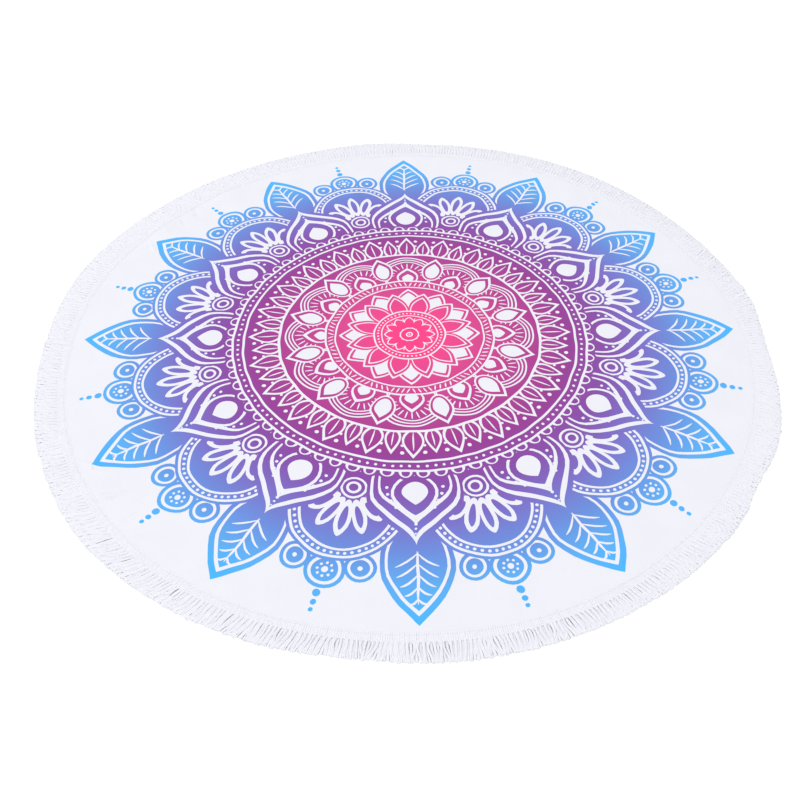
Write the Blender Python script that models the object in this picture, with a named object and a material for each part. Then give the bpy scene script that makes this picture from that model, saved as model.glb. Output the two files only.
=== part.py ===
"""Round beach towel with a fringed trim, spread out on the ground.

Metres, +Z up. The towel lies on z = 0 with its middle on the Z axis, and +Y points away from the viewer.
The cloth and its hem are one solid. The fringe trim is a second one: a narrow heading band that follows the
cloth's edge, with a lock of yarn drawn out of every second column of its outer wall.
"""
import math
import random

import bmesh
import bpy
from mathutils import Vector

# Driving dimensions.
OVERALL_DIAMETER = 1.50
FRINGE_LENGTH = 0.0445
HEADING_WIDTH = 0.0152
SEAM_GAP = 0.0003
CLOTH_THICKNESS = 0.0020
HEADING_THICKNESS = 0.0026

OVERALL_RADIUS = OVERALL_DIAMETER / 2
ROOT_RADIUS = OVERALL_RADIUS - FRINGE_LENGTH
HEADING_RADIUS = ROOT_RADIUS - HEADING_WIDTH
CLOTH_RADIUS = HEADING_RADIUS - SEAM_GAP

# How far the middle of the cloth lies off the middle of the fringe's outer circle: the fringe lies shorter at
# the front and the right than at the back and the left.
CLOTH_OFFSET = Vector((0.005, -0.010, 0.0))

# The towel isn't a true circle. A row is one soft bulge (or a dip, if its rise is negative) of its edge:
# the angle of its middle and its half-width, in degrees, and how far the edge moves out there.
BULGE_COLUMNS = ("angle", "half_width", "rise")
CLOTH_BULGES = (
    (25, 16, -0.0030),
    (58, 16, 0.0025),
    (163, 16, 0.0045),
    (-172, 14, -0.0030),
    (-130, 20, 0.0050),
    (-94, 14, -0.0030),
)
FRINGE_BULGES = (
    (-6, 14, -0.0050),
    (58, 16, 0.0020),
    (-172, 14, -0.0030),
    (-130, 20, 0.0010),
    (-3, 7, -0.0065),
    (7, 4, 0.0050),
    (85, 5, -0.0040),
    (99, 6, 0.0040),
    (-138, 9, 0.0025),
    (-98, 6, -0.0035),
    (-34, 5, -0.0080),
    (-22, 6, 0.0050),
)

# Soft buckles where the cloth doesn't lie quite flat. A row is one: the middle of its crest, the direction of
# the crest in degrees from +X, and its half-length, half-width and height.
FOLD_COLUMNS = ("x", "y", "direction", "half_length", "half_width", "height")
FOLDS = (
    (-0.600, -0.300, 20, 0.130, 0.045, 0.0050),
    (-0.545, -0.395, 34, 0.120, 0.042, 0.0045),
    (-0.450, -0.480, 46, 0.110, 0.045, 0.0040),
    (-0.350, -0.560, 62, 0.100, 0.040, 0.0030),
    (-0.540, 0.340, -36, 0.120, 0.050, 0.0040),
    (-0.415, 0.480, -56, 0.120, 0.050, 0.0038),
    (0.400, 0.480, 60, 0.120, 0.052, 0.0040),
    (0.560, 0.320, 24, 0.110, 0.050, 0.0030),
    (0.600, -0.250, -20, 0.110, 0.050, 0.0026),
    (-0.190, -0.040, -28, 0.120, 0.050, 0.0026),
)

# Cloth grid: its rings are shares of the cloth's radius.
CLOTH_SECTORS = 160
CLOTH_RINGS = (0.0, 0.10, 0.20, 0.28, 0.36, 0.44, 0.52, 0.59, 0.65, 0.71, 0.76, 0.81, 0.85, 0.89, 0.93,
               0.965, 1.0)

# Locks of yarn. Sizes across a lock are at its root, its belly and its end.
LOCKS = 300
LOCK_SHARE = 0.72
BELLY_PLACE = 0.48
BELLY_WIDTH = 0.0110
END_WIDTH = 0.0078
BELLY_HEIGHT = 0.0042
END_HEIGHT = 0.0030
LENGTH_SPREAD = 0.0026
SWAY = 0.0040
SWAY_TURNS = (7, 17)
JITTER = 0.0007
CLUMP_SIZES = (3, 4, 5, 6)
CLUMP_DRAW = 0.11
SEED = 11

# Dyes by the outer radius of their ring, as a share of the cloth's radius.
DYE_COLUMNS = ("outer_share", "name", "colour")
DYES = (
    (0.14, "dye_pink", (0.90, 0.06, 0.20)),
    (0.42, "dye_purple", (0.38, 0.05, 0.32)),
    (0.72, "dye_violet", (0.20, 0.14, 0.56)),
    (0.95, "dye_blue", (0.10, 0.42, 0.90)),
)
CLOTH_WHITE = (0.86, 0.88, 0.94)
YARN_WHITE = (0.88, 0.88, 0.90)
CLOTH_ROUGHNESS = 0.90
YARN_ROUGHNESS = 0.95

MERGE_DISTANCE = 0.00001
SMOOTH_ANGLE = math.radians(40)
WALL_NORMAL_Z = 0.5


def rows(columns, table):
    """Yields each row of a table as a dictionary of its named columns."""
    for row in table:
        yield dict(zip(columns, row))


def angle_between(a, b):
    """The signed angle from b to a in degrees, within half a turn."""
    return (a - b + 180) % 360 - 180


def bulge(table, angle):
    """How far the edge moves out at an angle in radians."""
    total = 0.0
    for row in rows(BULGE_COLUMNS, table):
        away = angle_between(math.degrees(angle), row["angle"]) / row["half_width"]
        total += row["rise"] * math.exp(-away * away)
    return total


def window(share):
    """A smooth hump: 1 in the middle, 0 from a share of 1 outwards."""
    if abs(share) >= 1:
        return 0.0
    return (1 + math.cos(math.pi * share)) / 2


def lift(x, y):
    """Height of the cloth's underside above the ground."""
    total = 0.0
    for fold in rows(FOLD_COLUMNS, FOLDS):
        turn = math.radians(fold["direction"])
        along = (x - fold["x"]) * math.cos(turn) + (y - fold["y"]) * math.sin(turn)
        across = (y - fold["y"]) * math.cos(turn) - (x - fold["x"]) * math.sin(turn)
        total += fold["height"] * window(along / fold["half_length"]) * window(across / fold["half_width"])
    return total


def ray(angle):
    """The level direction at an angle in radians."""
    return Vector((math.cos(angle), math.sin(angle), 0.0))


def edge_point(radius, angle):
    """A point on the ground at a radius from the cloth's middle that follows the cloth's uneven edge."""
    reach = radius * (1 + bulge(CLOTH_BULGES, angle) / CLOTH_RADIUS)
    return CLOTH_OFFSET + ray(angle) * reach


def make_material(name, colour, roughness):
    """A Principled material of one colour."""
    material = bpy.data.materials.new(name)
    material.use_nodes = True
    shader = material.node_tree.nodes["Principled BSDF"]
    shader.inputs["Base Color"].default_value = (*colour, 1.0)
    shader.inputs["Roughness"].default_value = roughness
    shader.inputs["Metallic"].default_value = 0.0
    material.diffuse_color = (*colour, 1.0)
    return material


def spin_profile(bm, points, closed, steps):
    """Turns a profile in the XZ plane once round the Z axis."""
    verts = [bm.verts.new(point) for point in points]
    edges = [bm.edges.new(pair) for pair in zip(verts, verts[1:])]
    if closed:
        edges.append(bm.edges.new((verts[-1], verts[0])))
    bmesh.ops.spin(bm, geom=verts + edges, cent=(0, 0, 0), axis=(0, 0, 1), angle=math.tau,
                   steps=steps, use_merge=True)
    bmesh.ops.remove_doubles(bm, verts=bm.verts, dist=MERGE_DISTANCE)


def finish_object(bm, name, materials, collection):
    """Writes a bmesh to a new object in the collection."""
    bmesh.ops.recalc_face_normals(bm, faces=bm.faces)
    mesh = bpy.data.meshes.new(name)
    bm.to_mesh(mesh)
    bm.free()
    for material in materials:
        mesh.materials.append(material)
    mesh.shade_smooth()
    mesh.set_sharp_from_angle(angle=SMOOTH_ANGLE)
    made = bpy.data.objects.new(name, mesh)
    collection.objects.link(made)
    return made


def make_cloth(collection):
    """The round cloth: a polar sheet laid on its folds, then thickened straight up."""
    bm = bmesh.new()
    spin_profile(bm, [(share * CLOTH_RADIUS, 0, 0) for share in CLOTH_RINGS], False, CLOTH_SECTORS)
    for vert in bm.verts:
        radius = vert.co.to_2d().length
        spot = edge_point(radius, math.atan2(vert.co.y, vert.co.x))
        spot.z = lift(spot.x, spot.y)
        vert.co = spot
    grown = bmesh.ops.extrude_face_region(bm, geom=bm.faces[:], use_keep_orig=True)["geom"]
    raised = [item for item in grown if isinstance(item, bmesh.types.BMVert)]
    bmesh.ops.translate(bm, verts=raised, vec=(0, 0, CLOTH_THICKNESS))
    printed = [item for item in grown if isinstance(item, bmesh.types.BMFace)]
    for face in printed:
        share = (face.calc_center_median() - CLOTH_OFFSET).to_2d().length / CLOTH_RADIUS
        for index, dye in enumerate(rows(DYE_COLUMNS, DYES)):
            if share < dye["outer_share"]:
                face.material_index = index + 1
                break
    materials = [make_material("cloth_white", CLOTH_WHITE, CLOTH_ROUGHNESS)]
    for dye in rows(DYE_COLUMNS, DYES):
        materials.append(make_material(dye["name"], dye["colour"], CLOTH_ROUGHNESS))
    return finish_object(bm, "towel_cloth", materials, collection)


def lock_leans(chance):
    """How far each lock's end lies to the side of its root: uneven clumps with a slow sway."""
    pitch = math.tau * ROOT_RADIUS / LOCKS
    leans = []
    while len(leans) < LOCKS:
        size = min(chance.choice(CLUMP_SIZES), LOCKS - len(leans))
        for place in range(size):
            turn = math.tau * len(leans) / LOCKS
            sway = SWAY * sum(math.sin(turns * turn + turns) for turns in SWAY_TURNS) / len(SWAY_TURNS)
            inward = (size - 1) / 2 - place
            leans.append(inward * pitch * CLUMP_DRAW + sway + chance.uniform(-JITTER, JITTER))
    return leans


def column_angle(column):
    """The angle of a wall column's start: locks and the gaps between them take turns."""
    share = (column // 2) + (LOCK_SHARE if column % 2 else 0.0)
    return math.tau * share / LOCKS


def shape_section(face, middle, reach, shift, width, height):
    """Sets the four corners of a lock's section, which rests on the ground.

    The section is reach metres out from the lock's root at the angle middle, and shift metres to its side.
    """
    radial = ray(middle)
    sideways = Vector((-radial.y, radial.x, 0.0))
    centre = edge_point(ROOT_RADIUS, middle) + radial * reach + sideways * shift
    level = face.calc_center_median().z
    for vert in face.verts:
        side = math.copysign(width / 2, (vert.co - edge_point(ROOT_RADIUS, middle)).dot(sideways))
        top = height if vert.co.z > level else 0.0
        vert.co = centre + sideways * side + Vector((0, 0, top))


def lock_roots(bm):
    """The outer wall's faces that locks grow from, by the number of the lock."""
    roots = {}
    for face in bm.faces:
        centre = face.calc_center_median() - CLOTH_OFFSET
        if abs(face.normal.z) > WALL_NORMAL_Z or face.normal.dot(centre) < 0:
            continue
        turn = math.atan2(centre.y, centre.x) % math.tau
        share, lock = math.modf(turn / math.tau * LOCKS)
        if share < LOCK_SHARE:
            roots[int(lock)] = face
    return [roots[lock] for lock in range(LOCKS)]


def make_fringe(collection):
    """The heading band, and a lock extruded in two steps from every second column of its outer wall."""
    chance = random.Random(SEED)
    bm = bmesh.new()
    columns = 2 * LOCKS
    profile = [(HEADING_RADIUS, 0, 0), (ROOT_RADIUS, 0, 0),
               (ROOT_RADIUS, 0, HEADING_THICKNESS), (HEADING_RADIUS, 0, HEADING_THICKNESS)]
    spin_profile(bm, profile, True, columns)
    for vert in bm.verts:
        column = round(math.atan2(vert.co.y, vert.co.x) / math.tau * columns) % columns
        spot = edge_point(vert.co.to_2d().length, column_angle(column))
        spot.z = vert.co.z + lift(spot.x, spot.y)
        vert.co = spot
    bmesh.ops.recalc_face_normals(bm, faces=bm.faces)

    leans = lock_leans(chance)
    middles = [math.tau * (lock + LOCK_SHARE / 2) / LOCKS for lock in range(LOCKS)]
    reaches = [FRINGE_LENGTH + bulge(FRINGE_BULGES, middle) - CLOTH_OFFSET.dot(ray(middle))
               + chance.uniform(-LENGTH_SPREAD, LENGTH_SPREAD) for middle in middles]
    for root, middle, reach, lean in zip(lock_roots(bm), middles, reaches, leans):
        belly = bmesh.ops.extrude_discrete_faces(bm, faces=[root])["faces"][0]
        shape_section(belly, middle, reach * BELLY_PLACE, lean * BELLY_PLACE, BELLY_WIDTH, BELLY_HEIGHT)
        end = bmesh.ops.extrude_discrete_faces(bm, faces=[belly])["faces"][0]
        shape_section(end, middle, reach, lean, END_WIDTH, END_HEIGHT)
    yarn = make_material("yarn_white", YARN_WHITE, YARN_ROUGHNESS)
    return finish_object(bm, "fringe_trim", [yarn], collection)


def centre_on_axis(pieces):
    """Moves the pieces together so that the middle of their box is over the origin."""
    corners = [vert.co for piece in pieces for vert in piece.data.vertices]
    middle_x = (min(co.x for co in corners) + max(co.x for co in corners)) / 2
    middle_y = (min(co.y for co in corners) + max(co.y for co in corners)) / 2
    for piece in pieces:
        piece.location = (-middle_x, -middle_y, 0.0)


def build_towel():
    """Clears the scene and makes the towel in its own collection."""
    for old in list(bpy.data.objects):
        bpy.data.objects.remove(old, do_unlink=True)
    collection = bpy.data.collections.new("round_beach_towel")
    bpy.context.scene.collection.children.link(collection)
    centre_on_axis([make_cloth(collection), make_fringe(collection)])


build_towel()
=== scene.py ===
import math

import bmesh
import bpy
import numpy as np
from mathutils import Matrix, Vector
from mathutils.geometry import delaunay_2d_cdt


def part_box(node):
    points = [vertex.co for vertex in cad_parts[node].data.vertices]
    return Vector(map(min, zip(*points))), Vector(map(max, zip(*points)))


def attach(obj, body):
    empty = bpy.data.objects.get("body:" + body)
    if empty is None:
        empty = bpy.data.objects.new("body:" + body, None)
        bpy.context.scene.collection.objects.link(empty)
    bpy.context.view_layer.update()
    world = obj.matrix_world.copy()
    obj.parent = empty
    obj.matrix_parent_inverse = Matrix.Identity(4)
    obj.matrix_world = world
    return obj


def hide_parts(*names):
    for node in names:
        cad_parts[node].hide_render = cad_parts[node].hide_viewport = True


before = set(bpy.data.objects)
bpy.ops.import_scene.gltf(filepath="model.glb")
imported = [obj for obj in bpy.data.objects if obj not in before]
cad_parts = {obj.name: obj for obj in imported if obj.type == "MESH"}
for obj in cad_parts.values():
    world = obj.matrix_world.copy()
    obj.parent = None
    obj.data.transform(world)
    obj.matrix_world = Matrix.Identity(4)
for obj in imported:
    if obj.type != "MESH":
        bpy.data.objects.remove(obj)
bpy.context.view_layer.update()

# === Sizes shared with the part, in metres ===
OVERALL_RADIUS = 0.75
FRINGE_LENGTH = 0.0445
HEADING_WIDTH = 0.0152
SEAM_GAP = 0.0003
CLOTH_THICKNESS = 0.0020
HEADING_THICKNESS = 0.0026
ROOT_RADIUS = OVERALL_RADIUS - FRINGE_LENGTH
HEADING_RADIUS = ROOT_RADIUS - HEADING_WIDTH
CLOTH_RADIUS = HEADING_RADIUS - SEAM_GAP
CAD_SECTORS = 160
# How far the middle of the cloth lies off the middle of the fringe's outer circle, in x and y.
CLOTH_OFFSET = (0.005, -0.010)

# Where the edges of cloth and fringe swell out. Each row: angle and half-width in degrees, rise in metres.
CLOTH_BULGES = (
    (25, 16, -0.0030), (58, 16, 0.0025), (163, 16, 0.0045), (-172, 14, -0.0030),
    (-130, 20, 0.0050), (-94, 14, -0.0030),
)
FRINGE_BULGES = (
    (-6, 14, -0.0050), (58, 16, 0.0020), (-172, 14, -0.0030), (-130, 20, 0.0010),
    (-3, 7, -0.0065), (7, 4, 0.0050), (85, 5, -0.0040), (99, 6, 0.0040),
    (-138, 9, 0.0025), (-98, 6, -0.0035), (-34, 5, -0.0080), (-22, 6, 0.0050),
)
# Each row: x, y, direction of the crest in degrees, half-length, half-width, height.
FOLDS = (
    (-0.600, -0.300, 20, 0.130, 0.045, 0.0050),
    (-0.545, -0.395, 34, 0.120, 0.042, 0.0045),
    (-0.450, -0.480, 46, 0.110, 0.045, 0.0040),
    (-0.350, -0.560, 62, 0.100, 0.040, 0.0030),
    (-0.540, 0.340, -36, 0.120, 0.050, 0.0040),
    (-0.415, 0.480, -56, 0.120, 0.050, 0.0038),
    (0.400, 0.480, 60, 0.120, 0.052, 0.0040),
    (0.560, 0.320, 24, 0.110, 0.050, 0.0030),
    (0.600, -0.250, -20, 0.110, 0.050, 0.0026),
    (-0.190, -0.040, -28, 0.120, 0.050, 0.0026),
)
# Finer creases, placed where the photograph shows them. The columns are those of FOLDS.
CREASES = (
    (-0.520, -0.4245, 11, 0.052, 0.0065, 0.0034),
    (-0.543, -0.4015, 8, 0.045, 0.0080, 0.0015),
    (-0.571, -0.3535, -16, 0.026, 0.0060, 0.0016),
    (-0.553, -0.3705, -6, 0.030, 0.0060, 0.0012),
    (-0.473, -0.4725, 34, 0.032, 0.0065, -0.0026),
    (-0.440, -0.5220, -18, 0.045, 0.0100, 0.0009),
    (-0.600, -0.3300, 2, 0.050, 0.0130, 0.0011),
    (-0.341, -0.5700, 22, 0.045, 0.0090, 0.0016),
    (-0.324, -0.6060, 8, 0.045, 0.0090, 0.0014),
    (-0.5815, 0.3000, -61, 0.035, 0.0070, 0.0019),
    (-0.560, 0.3615, -64, 0.035, 0.0070, 0.0010),
    (-0.535, 0.3950, -62, 0.030, 0.0070, 0.0015),
    (-0.5245, 0.3980, -64, 0.030, 0.0070, -0.0013),
    (-0.4975, 0.4330, -66, 0.030, 0.0075, -0.0027),
    (-0.446, 0.4710, -4, 0.024, 0.0060, 0.0028),
    (0.464, 0.4615, 75, 0.036, 0.0070, 0.0020),
    (0.526, 0.4140, -78, 0.024, 0.0070, 0.0014),
    (0.555, 0.3625, -35, 0.036, 0.0080, 0.0013),
    (-0.146, -0.0640, -29, 0.046, 0.0080, 0.0010),
    (0.330, -0.5600, 70, 0.060, 0.0150, 0.0009),
    (0.620, -0.1600, 10, 0.060, 0.0150, 0.0008),
    (0.090, 0.6400, 80, 0.050, 0.0140, 0.0008),
)
# Troughs deeper than the knee level off within this room, so that the cloth keeps some thickness.
TROUGH_KNEE, TROUGH_ROOM = 0.0009, 0.0006
# Long, low waves of hand-smoothed cloth. Each row: turns per metre in x and y, phase, height.
WAVES = (
    (3.1, 1.3, 0.4, 0.00030), (-1.7, 4.2, 2.1, 0.00026), (5.3, -3.4, 4.0, 0.00020),
    (6.9, 5.1, 1.2, 0.00014), (-8.7, 3.9, 5.2, 0.00010),
)


def rows(table):
    """The columns of a table as arrays that broadcast against points."""
    return (np.array(column, float)[:, None] for column in zip(*table))


def even_turns(count):
    """Angles of even steps round a full turn."""
    return np.arange(count) * math.tau / count


def swell(table, angle):
    """The joint size of a table's swells at each angle, which is in radians."""
    middle, half_width, rise = rows(table)
    away = ((np.degrees(angle) - middle + 180) % 360 - 180) / half_width
    return (rise * np.exp(-away * away)).sum(0)


def window(away):
    """A soft hump: 1 in its middle, and 0 from a distance of 1 on."""
    return np.where(np.abs(away) < 1, (1 + np.cos(np.pi * away)) / 2, 0)


def humps(table, x, y):
    """The joint height of a table's folds at each point."""
    fold_x, fold_y, direction, half_length, half_width, height = rows(table)
    turn = np.radians(direction)
    along = ((x - fold_x) * np.cos(turn) + (y - fold_y) * np.sin(turn)) / half_length
    across = ((y - fold_y) * np.cos(turn) - (x - fold_x) * np.sin(turn)) / half_width
    return (height * window(along) * window(across)).sum(0)


def lift(x, y):
    """Height of the cloth's underside above the floor."""
    return humps(FOLDS, x, y)


def relief(x, y):
    """Height of the cloth's top over its plain thickness: folds, creases and waves."""
    turns_x, turns_y, phase, height = rows(WAVES)
    waves = (height * np.sin(math.tau * (turns_x * x + turns_y * y) + phase)).sum(0)
    fine = humps(CREASES, x, y) + waves
    deep = np.minimum(fine + TROUGH_KNEE, 0) / TROUGH_ROOM
    return lift(x, y) + np.maximum(fine, -TROUGH_KNEE) + TROUGH_ROOM * np.tanh(deep)


def edge_points(radius, angle):
    """x and y at a radius from the cloth's middle that follows the cloth's uneven edge."""
    reach = radius * (1 + swell(CLOTH_BULGES, angle) / CLOTH_RADIUS)
    return CLOTH_OFFSET[0] + reach * np.cos(angle), CLOTH_OFFSET[1] + reach * np.sin(angle)


def cad_shift():
    """How far the part's script moved its pieces to bring their joint box over the origin."""
    low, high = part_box("towel_cloth")
    edges = edge_points(CLOTH_RADIUS, even_turns(CAD_SECTORS))
    moves = [(a + b - edge.min() - edge.max()) / 2 for a, b, edge in zip(low, high, edges)]
    return Vector((*moves, 0))


# === The print: half a sector of a twelve-fold rosette, as flat outlines in painter's order ===
FOLD_COUNT = 12
HALF_SECTOR = 180.0 / FOLD_COUNT
AXIS, BETWEEN = 0.0, HALF_SECTOR
PRINT_RADIUS = 0.672
# The disc that is cut along the outlines.
PRINT_DISC = 0.6735
PRINT_MIDDLE = (0.010, -0.013)
PRINT_TURN = math.radians(-90 + 0.45)
# Places in the cloth's list of materials.
BARE, DYED, UNDERSIDE = 0, 1, 2
# Bands reach some degrees past the wedge, and have one step for so many metres of radius. They start just
# behind the middle.
SIDE_ROOM, BAND_STEP, BAND_FOOT = 4.0, 0.006, (-0.001, -0.001)
# Corners nearer together than this become one.
POINT_CLEAR = 2e-4

shapes = []


def share(radius):
    """A share of the print's radius, in metres."""
    return PRINT_RADIUS * radius


def on_ray(angle, along, across=0.0):
    """The point along metres out on the ray at an angle in degrees, and across metres to its left."""
    cos, sin = math.cos(math.radians(angle)), math.sin(math.radians(angle))
    return (along * cos - across * sin, along * sin + across * cos)


def quarter(away):
    """The height of a quarter circle of radius 1 at a distance from its middle."""
    return math.sqrt(max(0.0, 1 - away ** 2))


def lotus(belly, point):
    """A petal's half-width from base to tip: round up to its belly, then drawn in to a point."""
    def width(t):
        if t < belly:
            return quarter((belly - t) / belly)
        return max(0.0, math.cos(math.pi / 2 * (t - belly) / (1 - belly))) ** point
    return width


def ogee(t):
    """A petal that is widest halfway, with sides that turn outwards before the tip."""
    return quarter(1 - 2 * t) if t < 0.5 else ((math.cos(math.pi * (2 * t - 1)) + 1) / 2) ** 0.8


def arch(t, foot=0.82):
    """Nearly straight sides up to the middle, then a round top."""
    return foot + (1 - foot) * math.sin(math.pi * t) if t < 0.5 else quarter(2 * t - 1)


def leaf(t):
    """A slim leaf, widest below its middle."""
    return math.sin(math.pi * t ** 0.8)


def dome(t):
    """A half-circle when seen from its foot."""
    return quarter(2 * t - 1)


def spear(base, tip, half_width, profile, steps):
    """A closed outline along +X, symmetric about it, with the profile's width."""
    places = [(1 - math.cos(math.pi * step / steps)) / 2 for step in range(steps + 1)]
    side = [(base + (tip - base) * place, half_width * profile(place)) for place in places]
    outline = side + [(along, -across) for along, across in reversed(side)]
    kept = []
    for point in outline:
        if not kept or math.dist(point, kept[-1]) > POINT_CLEAR:
            kept.append(point)
    return kept[:-1] if math.dist(kept[0], kept[-1]) <= POINT_CLEAR else kept


def paint(outline, colour, angle):
    """Adds an outline, turned to the ray at an angle."""
    shapes.append(([on_ray(angle, along, across) for along, across in outline], colour))


def nest(angle, base, tip, half_width, profile, insets, first=DYED, steps=14, tip_pull=2.0, base_pull=1.0):
    """Outlines one in the other, dyed and bare by turns. Insets are in metres, other sizes are shares."""
    colour = first
    for inset in (0.0, *insets):
        low, high = share(base) + inset * base_pull, share(tip) - inset * tip_pull
        paint(spear(low, high, share(half_width) - inset, profile, steps), colour, angle)
        colour = BARE if colour == DYED else DYED


def dot(angle, along, radius, across=0.0, colour=BARE, sides=8):
    """A round dot. Along and across are in metres."""
    x, y = on_ray(angle, along, across)
    turns = [math.tau * side / sides for side in range(sides)]
    shapes.append(([(x + radius * math.cos(t), y + radius * math.sin(t)) for t in turns], colour))


def target(angle, along, sizes, first, sides):
    """Round dots one in the other, dyed and bare by turns."""
    for place, size in enumerate(sizes):
        dot(angle, along, size, colour=(first + place) % 2, sides=sides)


def bands(*radii):
    """Full discs one in the other, bare and dyed by turns, which leave rings. The radii are shares."""
    low, high = -SIDE_ROOM, HALF_SECTOR + SIDE_ROOM
    for place, radius in enumerate(radii):
        steps = max(6, int(share(radius) / BAND_STEP))
        rim = [on_ray(low + (high - low) * step / steps, share(radius)) for step in range(steps + 1)]
        shapes.append(([BAND_FOOT] + rim, DYED if place % 2 else BARE))


def stroke(points, width, ends):
    """A bare pen line through points, widest in its middle. Its ends keep that share of the width."""
    left, right = [], []
    last = len(points) - 1
    for place, (x, y) in enumerate(points):
        before, after = points[max(0, place - 1)], points[min(last, place + 1)]
        dx, dy = after[0] - before[0], after[1] - before[1]
        swelling = ends + (1 - ends) * math.sin(math.pi * place / last) ** 0.5
        half = width / 2 * swelling / math.hypot(dx, dy)
        left.append((x - dy * half, y + dx * half))
        right.append((x + dy * half, y - dx * half))
    shapes.append((left + right[::-1], BARE))


# The rings from the edge inwards. Angles are in degrees, radii and nests in shares of the print's radius,
# and other sizes in metres.
def outer_finials():
    """Beads on a stem, and a ring with a flower and smaller rings between the leaf tips."""
    for radius, size in ((0.984, 0.0042), (0.963, 0.0056), (0.938, 0.0072)):
        dot(BETWEEN, share(radius), size, colour=DYED, sides=10)
    side = BETWEEN - 5.6
    target(side, share(0.853), (0.0269, 0.0204, 0.0154), DYED, 20)
    dot(side, share(0.853), 0.0042, sides=9)
    target(BETWEEN, share(0.872), (0.0350, 0.0282, 0.0225), DYED, 24)
    for petal in range(8):
        turn = math.tau * petal / 8
        dot(BETWEEN, share(0.872) + 0.0125 * math.cos(turn), 0.0026, 0.0125 * math.sin(turn), sides=7)
    dot(BETWEEN, share(0.872), 0.0058, sides=10)


def leaf_tips():
    """Big veined leaves that reach the print's edge on each axis."""
    inner, pull = 0.0135, 1.9
    nest(AXIS, 0.70, 1.0, 0.093, lotus(0.46, 0.95), (0.0085, inner), steps=18, tip_pull=pull)
    foot, top = share(0.78), share(1.0) - inner * pull - 0.012
    stroke([on_ray(AXIS, foot + (top - foot) * step / 5) for step in range(6)], 0.0052, 0.2)
    slope, bow = 0.75, 0.004
    for vein, reach in enumerate((0.036, 0.034, 0.029, 0.0215, 0.0135)):
        foot = share(0.80) + 0.0215 * vein
        stroke([on_ray(AXIS, foot + reach * slope * s + bow * math.sin(math.pi * s), reach * s)
                for s in (0, 0.25, 0.5, 0.75, 1)], 0.0040, 0.3)


def beaded_arches():
    """Round arches between the axes, with a beaded rim and a fan of petals over a boss."""
    nest(BETWEEN, 0.52, 0.845, 0.158, arch, (0.0055, 0.0105, 0.0215, 0.0262), steps=26, tip_pull=1.0)
    rim = 0.016
    low, high, half = share(0.52) + rim, share(0.845) - rim, share(0.158) - rim
    beads, size = 12, 0.0031
    for bead in range(beads + 1):
        turn = math.pi / 2 * bead / beads
        dot(BETWEEN, low + (high - low) * (0.5 + 0.5 * math.sin(turn)), size, -half * math.cos(turn))
    for bead in range(1, 5):
        place = 0.50 - 0.085 * bead
        dot(BETWEEN, low + (high - low) * place, size, -half * arch(place))
    pivot = share(0.615)
    for turn, length in ((0, 0.105), (-24, 0.100), (-48, 0.088), (-72, 0.070)):
        petal = ((0.026, length, 0.0135, BARE), (0.040, length - 0.012, 0.0065, DYED))
        for base, tip, width, colour in petal:
            flat = spear(base, tip, width, lotus(0.62, 0.6), 9)
            turned = [on_ray(turn, along, across) for along, across in flat]
            paint([(pivot + along, across) for along, across in turned], colour, BETWEEN)
    target(BETWEEN, pivot, (0.0235, 0.0190, 0.0130, 0.0080), BARE, 18)


def ogee_petals():
    """Pointed petals with turned sides on each axis, with a drop and dots inside."""
    nest(AXIS, 0.44, 0.80, 0.128, ogee, (0.0060, 0.0115, 0.0205, 0.0250), steps=24, tip_pull=2.6)
    nest(AXIS, 0.55, 0.70, 0.062, lotus(0.45, 0.9), (0.0055, 0.0185), BARE, steps=12, tip_pull=1.7)
    for bead in range(3):
        dot(AXIS, share(0.715) + 0.0098 * bead, 0.0030 - 0.0006 * bead)
    for bead in range(4):
        dot(AXIS, share(0.595) + 0.0150 * bead, 0.0032, 0.0488 - 0.0017 * bead * bead)


def scalloped_band():
    """A ring of small scallops on a dotted band."""
    for angle in (2.5, 7.5, 12.5):
        dot(angle, share(0.545), 0.0178, colour=DYED, sides=20)
        dot(angle, share(0.545), 0.0128, sides=16)
        dot(angle, share(0.549), 0.0078, colour=DYED, sides=12)
    bands(0.545, 0.538)
    for bead in range(6):
        dot(1.25 + 2.5 * bead, share(0.5255), 0.0030)
    bands(0.513, 0.506)


def laurel():
    """Leaves in two sizes on a dyed ground, with dots between their tips."""
    for angle, tip, half_width in ((0.0, 0.498, 0.030), (7.5, 0.485, 0.024), (15.0, 0.498, 0.030)):
        nest(angle, 0.385, tip, half_width, leaf, (0.0042,), BARE, steps=12, tip_pull=2.2, base_pull=2.0)
        foot, top = share(0.405), share(tip) - 0.020
        stroke([on_ray(angle, foot + (top - foot) * s) for s in (0, 0.33, 0.66, 1)], 0.0030, 0.3)
    for angle in (3.75, 11.25):
        dot(angle, share(0.478), 0.0042, sides=9)
        dot(angle, share(0.452), 0.0030)
    bands(0.405, 0.397)


def hatched_domes():
    """Domes of thin arcs with short rays inside, and buds between them."""
    arcs = (0.0036, 0.0080, 0.0112, 0.0155, 0.0185)
    nest(AXIS, 0.19, 0.385, 0.098, dome, arcs, BARE, steps=22, tip_pull=1.0)
    middle, flatness = share(0.2875), 0.93
    for ray in range(6):
        turn = math.radians(18 * ray)
        stroke([on_ray(AXIS, middle + reach * math.cos(turn) * flatness, reach * math.sin(turn))
                for reach in (0.029, 0.037, 0.0465)], 0.0030, 0.6)
    nest(AXIS, 0.24, 0.328, 0.036, lotus(0.45, 0.9), (0.0040, 0.0110), BARE, steps=10, tip_pull=2.0)
    nest(BETWEEN, 0.27, 0.388, 0.036, lotus(0.5, 1.1), (0.0036, 0.0085), BARE, steps=12, tip_pull=2.2)


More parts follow.
